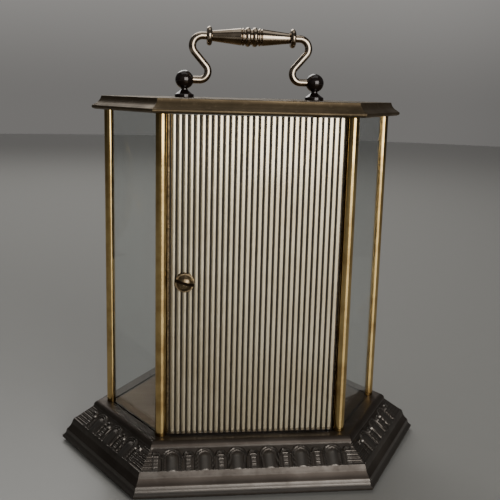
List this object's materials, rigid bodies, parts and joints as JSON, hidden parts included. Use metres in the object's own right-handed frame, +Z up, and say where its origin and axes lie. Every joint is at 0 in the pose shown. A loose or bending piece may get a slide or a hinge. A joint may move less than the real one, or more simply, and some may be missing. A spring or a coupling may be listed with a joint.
{
  "type": "mantel clock",
  "caption": "Six-sided brass and glass mantel clock with a cast moulded base, a reeded rear door with a turn latch, and a swinging bail handle.",
  "frame": {"origin": "centre of the underside, where the felt pad rests", "axes": "+Z up; the dial faces -Y and the reeded rear door is at +Y"},
  "size_m": [0.218, 0.1448, 0.2458],
  "materials": {
    "cast_pewter": "antiqued grey-brown cast metal, worn bright on the raised edges",
    "aged_bronze": "aged olive-brown brass, satin",
    "polished_brass": "polished, lacquered",
    "champagne_brass": "polished pale brass, pressed into reeds",
    "brushed_brass": "satin, fine brushing",
    "aged_brass": "aged, dulled",
    "nickel_brass": "polished, pale and browned",
    "blackened_brass": "blackened, satin gloss",
    "steel": "zinc-plated",
    "board": "hardboard",
    "felt": "green felt",
    "glass": "clear, flat",
    "dial_white": "cream enamel",
    "hand_black": "black, satin",
    "hand_cap_brass": "polished",
    "movement_plastic": "moulded black plastic",
    "gear_plastic": "natural moulded plastic",
    "coil_copper": "enamelled copper wire on a bobbin",
    "circuit_green": "glass-epoxy board",
    "battery_wrap": "printed sleeve, plain"
  },
  "bodies": {
    "case": {"base_casting": "cast_pewter", "battery_cell": "battery_wrap", "battery_contacts": "steel", "bottom_cover": "board", "ceiling_plate": "brushed_brass", "centre_nut": "polished_brass", "circuit_board": "circuit_green", "cover_screws": "steel", "dial_bezel": "polished_brass", "dial_plate": "dial_white", "door_stops": "aged_brass", "felt_pad": "felt", "finial_left": "blackened_brass", "finial_right": "blackened_brass", "finial_screws": "steel", "floor_plate": "brushed_brass", "glass_front": "glass", "glass_front_sides": "glass", "glass_rear_left": "glass", "glass_rear_right": "glass", "motor_coil": "coil_copper", "motor_stator": "steel", "movement_bracket": "brushed_brass", "movement_case": "movement_plastic", "movement_cover": "movement_plastic", "pendulum_drive": "movement_plastic", "pendulum_guide": "polished_brass", "pillar_nuts": "steel", "pillars": "polished_brass", "post_front_left": "polished_brass", "post_front_right": "polished_brass", "post_left": "polished_brass", "post_rear_left": "polished_brass", "post_rear_right": "polished_brass", "post_right": "polished_brass", "tie_rod_nuts": "steel", "tie_rods": "steel", "top_slab": "aged_bronze"},
    "handle": {"handle_arm_left": "nickel_brass", "handle_arm_right": "nickel_brass", "handle_grip": "nickel_brass", "handle_collars": "nickel_brass"},
    "door": {"door_frame": "brushed_brass", "door_panel": "champagne_brass", "door_hinge_pins": "steel", "latch_bush": "polished_brass"},
    "latch": {"latch_knob": "aged_brass", "latch_cam": "aged_brass", "latch_nut": "steel"},
    "minute_arbor": {"minute_arbor": "steel", "minute_hand": "hand_black", "hand_cap": "hand_cap_brass"},
    "hour_wheel": {"hour_wheel": "gear_plastic", "hour_hand": "hand_black"},
    "minute_wheel": {"minute_wheel": "gear_plastic", "setting_knob": "movement_plastic"},
    "pendulum": {"pendulum_rod": "polished_brass", "pendulum_hub": "polished_brass", "pendulum_arms": "polished_brass", "pendulum_balls": "polished_brass"}
  },
  "joints": [
    {"name": "handle_swing", "type": "hinge", "parent": "case", "child": "handle", "pos_m": [0, 0, 0.216], "axis": [1, 0, 0], "range_deg": [-98, 98]},
    {"name": "door_swing", "type": "hinge", "parent": "case", "child": "door", "pos_m": [-0.0435, 0.0465, 0.11], "axis": [0, 0, 1], "range_deg": [0, 100]},
    {"name": "latch_turn", "type": "hinge", "parent": "door", "child": "latch", "pos_m": [0.0374, 0.0465, 0.1108], "axis": [0, 1, 0], "range_deg": [-90, 0]},
    {"name": "minute_hand_turn", "type": "hinge", "parent": "case", "child": "minute_arbor", "pos_m": [0, -0.02, 0.15], "axis": [0, 1, 0], "continuous": true},
    {"name": "hour_hand_turn", "type": "hinge", "parent": "case", "child": "hour_wheel", "pos_m": [0, -0.02, 0.15], "axis": [0, 1, 0], "continuous": true},
    {"name": "setting_knob_turn", "type": "hinge", "parent": "case", "child": "minute_wheel", "pos_m": [-0.00764, -0.01, 0.15764], "axis": [0, 1, 0], "continuous": true},
    {"name": "pendulum_spin", "type": "hinge", "parent": "case", "child": "pendulum", "pos_m": [0, 0, 0.058], "axis": [0, 0, 1], "continuous": true}
  ],
  "couplings": [
    {"joint": "hour_hand_turn", "follows": "minute_hand_turn", "ratio": 0.083333},
    {"joint": "setting_knob_turn", "follows": "minute_hand_turn", "ratio": -0.33333}
  ]
}
